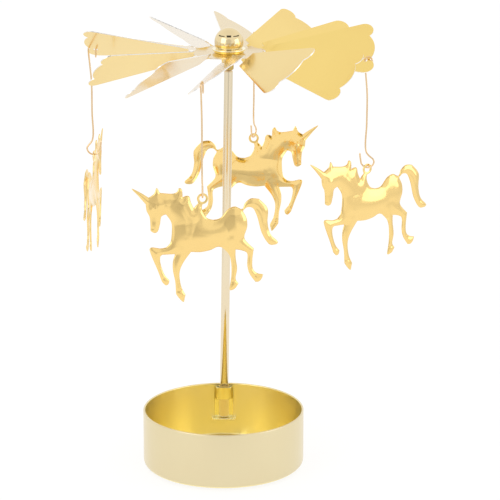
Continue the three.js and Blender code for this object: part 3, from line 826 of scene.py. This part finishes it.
def hub():
    """The flange, the ball in it, the cone under the sheet and the bearing inside."""
    bottom = ROTOR_SHEET / 2
    top = bottom + FLANGE_HEIGHT
    seat_drop = BALL_RADIUS * math.sin(math.radians(BALL_SEAT_DEGREES))
    profile = eased(
        [
            (FLANGE_BORE, bottom),
            (FLANGE_RADIUS - FLANGE_TAPER, bottom),
            (FLANGE_RADIUS - FLANGE_LIP, top - FLANGE_LIP_HEIGHTS[0]),
            (FLANGE_RADIUS, top - FLANGE_LIP_HEIGHTS[1]),
            (FLANGE_RADIUS, top),
            (FLANGE_BORE, top),
        ],
        FLANGE_EASE,
    )
    # The flange's paler gold is a painted highlight.
    flange = turned("ball_flange", profile, pale_gold_painted_highlight, rotor_frame())
    dress(flange, "cap_ring", "rotor_body")
    centre = top + seat_drop
    outside = arc(0, centre, BALL_RADIUS, -BALL_SEAT_DEGREES, 90, steps=40)
    inner_radius = BALL_RADIUS - BALL_WALL
    inner_seat = math.degrees(math.asin(seat_drop / inner_radius))
    inside_arc = arc(0, centre, inner_radius, 90, -inner_seat, steps=30)
    outside[-1] = (0, outside[-1][1])
    inside_arc[0] = (0, inside_arc[0][1])
    ball = turned("hub_ball", outside + inside_arc, ball_gold, rotor_frame(), segments=128)
    dress(ball, "dome_cap", "rotor_body")
    # The cone takes the collar's darker gold, painted shade.
    cone = turned(
        "hub_bush",
        eased(
            [
                (HUB_HOLE_RADIUS, -bottom - CONE_HEIGHT),
                (CONE_BOTTOM_RADIUS, -bottom - CONE_HEIGHT),
                (CONE_TOP_RADIUS, -bottom),
                (HUB_HOLE_RADIUS, -bottom),
            ],
            CONE_EASE,
        ),
        bush_gold_painted_shade, rotor_frame(), segments=64,
    )
    dress(cone, "hub_cone", "rotor_body")
    frame["nodes"]["bearing_cup"].data.materials.clear()
    frame["nodes"]["bearing_cup"].data.materials.append(steel)


# Hooks


def hooks():
    """The four hooks, each in the turn that it has in the photograph."""
    for side, (crown_degrees, bend_degrees, _) in HANGERS.items():
        hook(side, crown_degrees, bend_degrees)


def hook(side, crown_degrees, bend_degrees):
    """A wire hook: a crown over the sheet's strip, a long shank, and a bend that carries the ring."""
    crown_radius = HOOK_HOLE_RADIUS + HOOK_STRIP / 2
    seat_rise = WIRE_RADIUS + SEAT_GAP - RING_HOLE_RADIUS
    bend_z = HOOK_BEND - HOOK_DROP - seat_rise
    shank_z = bend_z - HOOK_BEND + HOOK_KINK_HEIGHT
    crown = [(crown_radius, -HOOK_TAIL)]
    crown += arc(0, 0, crown_radius, 0, 180, steps=6)
    crown += [
        ((-crown_radius - HOOK_SHANK_OFFSET) / 2, -2 * HOOK_TAIL),
        (-HOOK_SHANK_OFFSET, -4 * HOOK_TAIL),
        (-HOOK_SHANK_OFFSET, (shank_z - 4 * HOOK_TAIL) / 2),
        (-HOOK_SHANK_OFFSET, shank_z),
    ]
    bend = [(HOOK_BEND - HOOK_SHANK_OFFSET, shank_z - HOOK_KINK_LENGTH)]
    bend += arc(0, bend_z, HOOK_BEND, 0, -180, steps=6)
    bend += [(-HOOK_BEND - HOOK_SHANK_OFFSET, bend_z + HOOK_TIP)]
    turn = Matrix.Rotation(math.radians(bend_degrees), 3, "Z")
    points = [Vector((x, 0, z)) for x, z in crown]
    points += [turn @ Vector((x, 0, z)) for x, z in bend]
    place = Matrix.Translation(joint_place(side + "_hook_swing")) @ Matrix.Rotation(
        math.radians(crown_degrees), 4, "Z"
    )
    rings = wire_rings(centripetal(points, steps=8), WIRE_RADIUS)
    wire = lofted(side + "_wire_hook", rings, wire_gold, place)
    dress(wire, side + "_hook", side + "_hook_body")


def centripetal(points, steps):
    """A curve through points that doesn't overshoot where their spacing changes."""
    pts = [np.array(p, float) for p in points]
    pts = [2 * pts[0] - pts[1], *pts, 2 * pts[-1] - pts[-2]]
    out = [pts[1]]
    for p0, p1, p2, p3 in zip(pts, pts[1:], pts[2:], pts[3:]):
        t0 = 0
        t1 = t0 + np.linalg.norm(p1 - p0) ** 0.5
        t2 = t1 + np.linalg.norm(p2 - p1) ** 0.5
        t3 = t2 + np.linalg.norm(p3 - p2) ** 0.5
        for t in np.linspace(t1, t2, steps + 1)[1:]:
            a1 = (t1 - t) / (t1 - t0) * p0 + (t - t0) / (t1 - t0) * p1
            a2 = (t2 - t) / (t2 - t1) * p1 + (t - t1) / (t2 - t1) * p2
            a3 = (t3 - t) / (t3 - t2) * p2 + (t - t2) / (t3 - t2) * p3
            b1 = (t2 - t) / (t2 - t0) * a1 + (t - t0) / (t2 - t0) * a2
            b2 = (t3 - t) / (t3 - t1) * a2 + (t - t1) / (t3 - t1) * a3
            out.append((t2 - t) / (t2 - t1) * b1 + (t - t1) / (t2 - t1) * b2)
    return np.array(out)


# Charms. Their shapes are in hundredths of the charm's length, from the ring's centre, with the
# horn towards -x. Each stretch of the outline is a smooth curve.
CHARM_OUTLINE_SHARES = (
    ((-36.5, 2.6), (-42.2, 6.4), (-48, 9.3), (-43.4, 4), (-38.5, -2)),
    ((-38.5, -2), (-38, -6.5), (-36, -11), (-35.5, -17), (-35.5, -20.5)),
    ((-35.5, -20.5), (-33, -22), (-30.5, -21), (-29, -16), (-28, -11), (-25, -9.5)),
    ((-25, -9.5), (-21.5, -15), (-21, -21), (-22, -29), (-25, -32.5)),
    ((-25, -32.5), (-29, -33), (-35, -32), (-36, -35), (-31, -48), (-28, -56.5)),
    ((-28, -56.5), (-25.5, -59), (-23.5, -58), (-23, -55.5)),
    ((-23, -55.5), (-26.5, -51), (-29, -43), (-28.5, -38), (-24, -37.5), (-19, -37.5)),
    ((-19, -37.5), (-20.5, -43), (-20.5, -49), (-19, -57), (-18.5, -65.5)),
    ((-18.5, -65.5), (-16.5, -68.5), (-13.5, -71.5), (-12.5, -68.5), (-12, -66.5)),
    ((-12, -66.5), (-15, -60), (-16, -51), (-13.5, -44), (-8, -36.5)),
    ((-8, -36.5), (-1.5, -37), (5, -36), (10, -34), (13, -34.5)),
    ((13, -34.5), (18, -40), (19.5, -47), (19.5, -55), (18.5, -62)),
    ((18.5, -62), (18.5, -65), (22, -64), (24.5, -60.5)),
    ((24.5, -60.5), (22.5, -57), (23.5, -50), (22.5, -42), (22.5, -36.5)),
    ((22.5, -36.5), (27, -37.5), (30.5, -40), (30.5, -48), (32, -54), (36, -60)),
    ((36, -60), (38.5, -60), (40.5, -58), (41.5, -55)),
    ((41.5, -55), (37.5, -54), (34.5, -51), (34, -45), (35, -36.5)),
    ((35, -36.5), (30.5, -32), (28.5, -28), (30.5, -21), (30, -15), (27.5, -10)),
    ((27.5, -10), (30.5, -7.5), (34.5, -8.5), (37.5, -15), (40.5, -26), (45.5, -34), (50.5, -34.5)),
    ((50.5, -34.5), (51.5, -32.5), (46.5, -27), (44.5, -19), (44.5, -9), (38.5, -2)),
    ((38.5, -2), (33, -1.5), (29, -4.5), (27, -8.5), (22, -6.5), (17, -8.5), (12, -14), (7, -15)),
    ((7, -15), (3, -13.5), (0.5, -10), (-0.5, -6.5), (0, -3.5)),
    ((-3, -3), (-5, -5), (-6, -6.5)),
    ((-6, -6.5), (-8, -2), (-9, 2), (-11.5, 2.5), (-13.5, 1.5)),
    ((-13.5, 1.5), (-14, 7), (-16, 8), (-17.5, 5.5), (-21, 4.5), (-29, 5.5)),
    ((-29, 5.5), (-31, 9), (-33, 5), (-36.5, 2.6)),
)

# Broad swellings of the relief: centre, half width, half height and rise
CHARM_SWELL_SHARES = (
    (2, -26, 20, 10, 1),
    (26, -21, 11, 13, 1),
    (-11, -24, 9, 11, 0.95),
    (-12, -9, 9, 13, 0.85),
    (-31, -5, 8, 8, 0.75),
    (44, -12, 6, 14, 0.7),
)

# Creases of the relief, each a smooth line with its depth in millimetres and its half width
CHARM_CREASE_SHARES = (
    (((-19, 3), (-18.4, -2), (-13.4, -8.5), (-9.6, -17.5), (-10.6, -25.5)), 0.1, 2.6),
    (((-27.5, 1), (-26.5, -4), (-28.5, -9)), 0.06, 1.6),
    (((-20, -34), (-15, -31), (-9, -32), (-5, -36)), 0.08, 2.2),
    (((12.5, -33), (15, -28), (21, -26), (25, -29)), 0.08, 2.2),
    (((31, -6.5), (38, -9), (42, -18), (46, -29)), 0.12, 1),
    (((-35, -4), (-33.8, -9), (-33.4, -14)), 0.06, 1.2),
    (((-29, -54.5), (-23.5, -53)), 0.1, 1),
    (((-19.5, -63), (-13, -63.5)), 0.1, 1),
    (((17.5, -59.5), (24, -58.5)), 0.1, 1),
    (((33.5, -57.5), (38, -53)), 0.1, 1),
)

# Small bumps of the relief: centre, radius and rise in millimetres
CHARM_BUMP_SHARES = (
    (-32.3, -4.8, 1.3, 0.3),
    (-32.3, 6, 1.5, 0.2),
    (-17.5, 5.5, 1.5, 0.2),
    (-34, -19, 0.8, -0.15),
)
CHARM_RELIEF = 1.3
CHARM_EDGE_RELIEF = 0.62
CHARM_EDGE_WIDTH = 1.1
CHARM_SWELL_WIDTH = 2.4
CHARM_GRID = 0.42
CHARM_EDGE_INSETS = (0.1, 0.26)
CHARM_EDGE_SPACING = 0.3
CHARM_EDGE_ROUNDING = 0.22
CHARM_EDGE_THINNING = 0.95
CHARM_INSET_CLEARANCE = 0.8
RING_BLEND = 1.5
OUTSIDE_RING_SHARE = 0.999
SAME_POINT = 0.05


def charm_outline():
    """The outline of a unicorn and its ring, in millimetres from the ring's centre."""
    size = CHARM_LENGTH / 100
    loop = []
    for stretch in CHARM_OUTLINE_SHARES:
        line = smooth_path(stretch, steps=10) * size
        apart = not loop or np.linalg.norm(line[0] - loop[-1]) > SAME_POINT
        loop += list(line if apart else line[1:])
    return evened(joined_loop(np.array(loop)), CHARM_EDGE_SPACING)


def joined_loop(loop):
    """The outline of the body together with the ring, which overlaps its last stretch."""
    outer = loop[np.linalg.norm(loop, axis=1) > RING_RADIUS * OUTSIDE_RING_SHARE]
    gap = int(np.argmax(np.linalg.norm(np.diff(outer, axis=0, append=outer[:1]), axis=1)))
    last, first = outer[gap], outer[(gap + 1) % len(outer)]
    start, end = math.atan2(last[1], last[0]), math.atan2(first[1], first[0])
    span = (end - start) % (2 * math.pi)
    angles = start + np.linspace(0, 1, 30)[1:-1] * span
    bridge = RING_RADIUS * np.stack([np.cos(angles), np.sin(angles)], axis=1)
    return np.vstack([outer[: gap + 1], bridge, outer[gap + 1 :]])


def evened(loop, spacing):
    """A closed loop with points about `spacing` apart."""
    closed = np.vstack([loop, loop[:1]])
    lengths = np.concatenate([[0], np.cumsum(np.linalg.norm(np.diff(closed, axis=0), axis=1))])
    at = np.linspace(0, lengths[-1], int(lengths[-1] / spacing), endpoint=False)
    return np.stack([np.interp(at, lengths, closed[:, i]) for i in (0, 1)], axis=1)


def charm_mesh():
    """Points and faces of one stamped unicorn: embossed sheet with rounded edges."""
    outline = charm_outline()
    hole = np.array(circle(0, 0, RING_HOLE_RADIUS, 24))
    loops = [outline, hole]
    low, high = outline.min(axis=0), outline.max(axis=0)
    rows = np.arange(low[1], high[1], CHARM_GRID * math.sqrt(3) / 2)
    grid = np.array([
        (x + (CHARM_GRID / 2 if row % 2 else 0), y)
        for row, y in enumerate(rows)
        for x in np.arange(low[0], high[0], CHARM_GRID)
    ])
    grid = grid[inside(grid, outline) & ~inside(grid, hole)]
    grid = grid[edge_distance(grid, loops) > CHARM_EDGE_INSETS[-1] + CHARM_GRID / 3]
    near_edge = [inset_points(outline, inset, loops) for inset in CHARM_EDGE_INSETS]
    verts, faces = sheet_mesh(outline, [hole], np.vstack([grid, *near_edge]))
    distance = edge_distance(verts, loops)
    height = relief(verts, distance)
    rounding = np.clip(1 - distance / CHARM_EDGE_ROUNDING, 0, 1)
    half = CHARM_SHEET / 2 * np.sqrt(1 - (CHARM_EDGE_THINNING * rounding) ** 2)
    front = [(x, -h - t, y) for (x, y), h, t in zip(verts, height, half)]
    back = [(x, -h + t, y) for (x, y), h, t in zip(verts, height, half)]
    return sheet_solid(verts, faces, front, back)


def inset_points(loop, inset, loops):
    """The loop's points moved inwards by `inset`, without those that come too near an edge."""
    after, before = np.roll(loop, -1, axis=0), np.roll(loop, 1, axis=0)
    tangent = after - before
    tangent /= np.linalg.norm(tangent, axis=1)[:, None]
    normal = np.stack([-tangent[:, 1], tangent[:, 0]], axis=1)
    for side in (1, -1):
        moved = loop + side * inset * normal
        if inside(moved, loop).mean() > 0.5:
            break
    clear = edge_distance(moved, loops) > CHARM_INSET_CLEARANCE * inset
    return moved[inside(moved, loop) & clear]


def relief(verts, distance):
    """How far the sheet is pressed out at each point: rounded limbs, swellings, creases, bumps."""
    size = CHARM_LENGTH / 100
    x, y = verts[:, 0] / size, verts[:, 1] / size
    swell = np.zeros(len(verts))
    for cx, cy, half_x, half_y, rise in CHARM_SWELL_SHARES:
        away = ((x - cx) / half_x) ** 2 + ((y - cy) / half_y) ** 2
        swell = np.maximum(swell, rise * np.exp(-away))
    rounded = CHARM_EDGE_RELIEF * (1 - np.exp(-distance / CHARM_EDGE_WIDTH))
    broad = (CHARM_RELIEF - CHARM_EDGE_RELIEF) * swell
    height = rounded + broad * (1 - np.exp(-distance / CHARM_SWELL_WIDTH))
    for line, depth, half_width in CHARM_CREASE_SHARES:
        away = line_distance(verts, smooth_path(line, steps=8) * size) / (half_width * size)
        height -= depth * np.exp(-(away**2))
    for cx, cy, radius, rise in CHARM_BUMP_SHARES:
        away = np.hypot(x - cx, y - cy) / radius
        height += rise * np.exp(-(away**2))
    near_ring = np.clip((np.linalg.norm(verts, axis=1) - RING_RADIUS) / RING_BLEND, 0, 1)
    return np.clip(height, 0, CHARM_RELIEF) * near_ring


def charms():
    """Four unicorns of one stamping, each in the turn that it has in the photograph."""
    points, faces = charm_mesh()
    for side, (_, _, yaw_degrees) in HANGERS.items():
        place = Matrix.Translation(joint_place(side + "_charm_turn")) @ Matrix.Rotation(
            math.radians(yaw_degrees), 4, "Z"
        )
        obj = mesh_object(side + "_unicorn", points, faces, stamped_gold, place)
        dress(obj, side + "_charm", side + "_charm_body")


# Studio

# Floor: its glow is painted light, a pool that is even round the object and dims to the sides and
# towards the front, with painted shade in a patch further ahead, which the low metal reflects as a
# soft shade
FLOOR_HALF = 6000
FLOOR_COLOUR = (0.22, 0.22, 0.22)
FLOOR_ROUGHNESS = 0.9
FLOOR_GLOW = 0.82
POOL_SIDE = (230, 420)
POOL_SIDE_LIGHT = 0.8
POOL_FRONT = (-420, -900)
POOL_FRONT_LIGHT = 0.94
PAINTED_SHADE_SLOPES = (0.26, 0.46)
PAINTED_SHADE_DISTANCES = (-230, -430)
PAINTED_SHADE = 0.6

# Tent: each pair is where a change of light starts and ends, as a height, a depth or a cosine
ZENITH_HEIGHTS = (0.75, 0.98)
ZENITH_LIGHT = 0.95
HORIZON_HEIGHTS = (-0.06, 0.02)
BELOW_LIGHT = 0.7
FRONT = (0, -0.97, 0.24)
FRONT_COSINES = (0.9, 0.98)
FRONT_LIGHT = 0.74
BEHIND_DEPTHS = (0.35, 0.45)
SEAM_AXIS = (0, 0.334, 0.943)
SEAM_COSINE = 0.567
SEAM_LIGHT = 0.07
MIDDLE_SEAM_HALF = (0.1, 0.14)
MIDDLE_SEAM_REACH = (0.24, 0.32)
SIDE_SEAM_HALF = (0.03, 0.06)
SIDE_SEAM_PLACE = 0.72
SIDE_SEAM_REACH = (0.18, 0.22)

# Soft boxes: place, size and power in watts, aimed at half the hub's height
KEY_LIGHT = ((-560, -500, 380), 560, 0.95)
RIM_LIGHT = ((620, -230, 230), 420, 0.48)
HUB_HEIGHT = 150


def studio():
    """A white tent, a pale floor whose glow is painted light, and two soft boxes."""
    tent()
    floor()
    soft_box("key_light", *KEY_LIGHT)
    soft_box("rim_light", *RIM_LIGHT)


def tent():
    """Soft light from all round, a little dimmer above and in front, with three dark seams."""
    world = bpy.data.worlds.new("tent")
    bpy.context.scene.world = world
    world.use_nodes = True
    tree = world.node_tree
    background = tree.nodes["Background"]
    background.inputs["Color"].default_value = (1, 1, 1, 1)
    place = tree.nodes.new("ShaderNodeTexCoord")
    direction = place.outputs["Generated"]
    split = tree.nodes.new("ShaderNodeSeparateXYZ")
    tree.links.new(direction, split.inputs["Vector"])
    side = combined(tree, "ABSOLUTE", split.outputs["X"])
    overhead = ranged(tree, split.outputs["Z"], *ZENITH_HEIGHTS, 1, ZENITH_LIGHT)
    below = ranged(tree, split.outputs["Z"], *HORIZON_HEIGHTS, BELOW_LIGHT, 1)
    ahead = ranged(tree, pointing(tree, direction, FRONT), *FRONT_COSINES, 1, FRONT_LIGHT)
    off_seam = combined(tree, "SUBTRACT", pointing(tree, direction, SEAM_AXIS), SEAM_COSINE)
    off_seam = combined(tree, "ABSOLUTE", off_seam)
    behind = ranged(tree, split.outputs["Y"], *BEHIND_DEPTHS, 0, 1)
    middle_seam = combined(
        tree, "MAXIMUM",
        ranged(tree, off_seam, *MIDDLE_SEAM_HALF, 0, 1),
        ranged(tree, side, *MIDDLE_SEAM_REACH, 0, 1),
    )
    off_side = combined(tree, "ABSOLUTE", combined(tree, "SUBTRACT", side, SIDE_SEAM_PLACE))
    side_seams = combined(
        tree, "MAXIMUM",
        ranged(tree, off_seam, *SIDE_SEAM_HALF, 0, 1),
        ranged(tree, off_side, *SIDE_SEAM_REACH, 0, 1),
    )
    seams = combined(tree, "MULTIPLY", middle_seam, side_seams)
    light = combined(tree, "MAXIMUM", combined(tree, "MAXIMUM", seams, behind), SEAM_LIGHT)
    for factor in (overhead, below, ahead):
        light = combined(tree, "MULTIPLY", light, factor)
    tree.links.new(light, background.inputs["Strength"])


def combined(tree, operation, first, second=None):
    """The result of a maths node, whose second value may be a constant."""
    made = tree.nodes.new("ShaderNodeMath")
    made.operation = operation
    tree.links.new(first, made.inputs[0])
    if isinstance(second, (int, float)):
        made.inputs[1].default_value = second
    elif second is not None:
        tree.links.new(second, made.inputs[1])
    return made.outputs[0]


def pointing(tree, vector, direction):
    """How far a vector points along a direction."""
    made = tree.nodes.new("ShaderNodeVectorMath")
    made.operation = "DOT_PRODUCT"
    made.inputs[1].default_value = direction
    tree.links.new(vector, made.inputs[0])
    return made.outputs["Value"]


def floor():
    """A pale floor whose glow is painted light: even under the object, dimmer further out, with
    painted shade ahead.
    """
    material = bpy.data.materials.new("floor_painted_glow")
    material.use_nodes = True
    tree = material.node_tree
    shader = tree.nodes["Principled BSDF"]
    shader.inputs["Base Color"].default_value = (*FLOOR_COLOUR, 1)
    shader.inputs["Roughness"].default_value = FLOOR_ROUGHNESS
    shader.inputs["Specular IOR Level"].default_value = 0
    shader.inputs["Emission Color"].default_value = (1, 1, 1, 1)
    place = tree.nodes.new("ShaderNodeTexCoord")
    split = tree.nodes.new("ShaderNodeSeparateXYZ")
    tree.links.new(place.outputs["Object"], split.inputs["Vector"])
    side = combined(tree, "ABSOLUTE", split.outputs["X"])
    # Painted pool of light: the glow dims to the sides and towards the front.
    near, far = (v * MM for v in POOL_SIDE)
    glow = ranged(tree, side, near, far, FLOOR_GLOW, FLOOR_GLOW * POOL_SIDE_LIGHT)
    near, far = (v * MM for v in POOL_FRONT)
    front = ranged(tree, split.outputs["Y"], far, near, POOL_FRONT_LIGHT, 1)
    # Painted shade: the glow dims in a patch ahead of the object.
    near, far = (v * MM for v in PAINTED_SHADE_DISTANCES)
    shade = ranged(tree, split.outputs["Y"], far, near, PAINTED_SHADE, 1)
    ahead = combined(tree, "MULTIPLY", split.outputs["Y"], -1)
    slope = combined(tree, "DIVIDE", side, ahead)
    beside = ranged(tree, slope, *PAINTED_SHADE_SLOPES, PAINTED_SHADE, 1)
    shade = combined(tree, "MAXIMUM", shade, beside)
    for factor in (front, shade):
        glow = combined(tree, "MULTIPLY", glow, factor)
    tree.links.new(glow, shader.inputs["Emission Strength"])
    corners = [(-1, -1), (1, -1), (1, 1), (-1, 1)]
    points = [(x * FLOOR_HALF, y * FLOOR_HALF, STANDING_Z) for x, y in corners]
    mesh_object("floor", points, [(0, 1, 2, 3)], material)


def soft_box(name, place, size, power):
    """A square lamp of soft light, aimed at the object's middle."""
    data = bpy.data.lights.new(name, "AREA")
    data.size = size * MM
    data.energy = power
    obj = bpy.data.objects.new(name, data)
    bpy.context.scene.collection.objects.link(obj)
    obj.location = Vector(place) * MM
    toward = Vector((0, 0, HUB_HEIGHT / 2)) - Vector(place)
    obj.rotation_euler = toward.to_track_quat("-Z", "Y").to_euler()


def camera():
    """The camera as fitted to the photograph."""
    data = bpy.data.cameras.new("photo_camera")
    data.sensor_width = SENSOR
    data.lens = FOCAL_PIXELS / PICTURE_PIXELS * SENSOR
    obj = bpy.data.objects.new("photo_camera", data)
    bpy.context.scene.collection.objects.link(obj)
    obj.location = Vector(CAMERA_PLACE) * MM
    obj.rotation_euler = (
        math.radians(90 + CAMERA_PITCH_DEGREES),
        0,
        math.radians(CAMERA_PAN_DEGREES),
    )
    bpy.context.scene.camera = obj
    bpy.context.scene.view_settings.view_transform = "Standard"


cup()
pole_clip()
pole()
collar_and_needle()
rotor()
hub()
hooks()
charms()
studio()
camera()
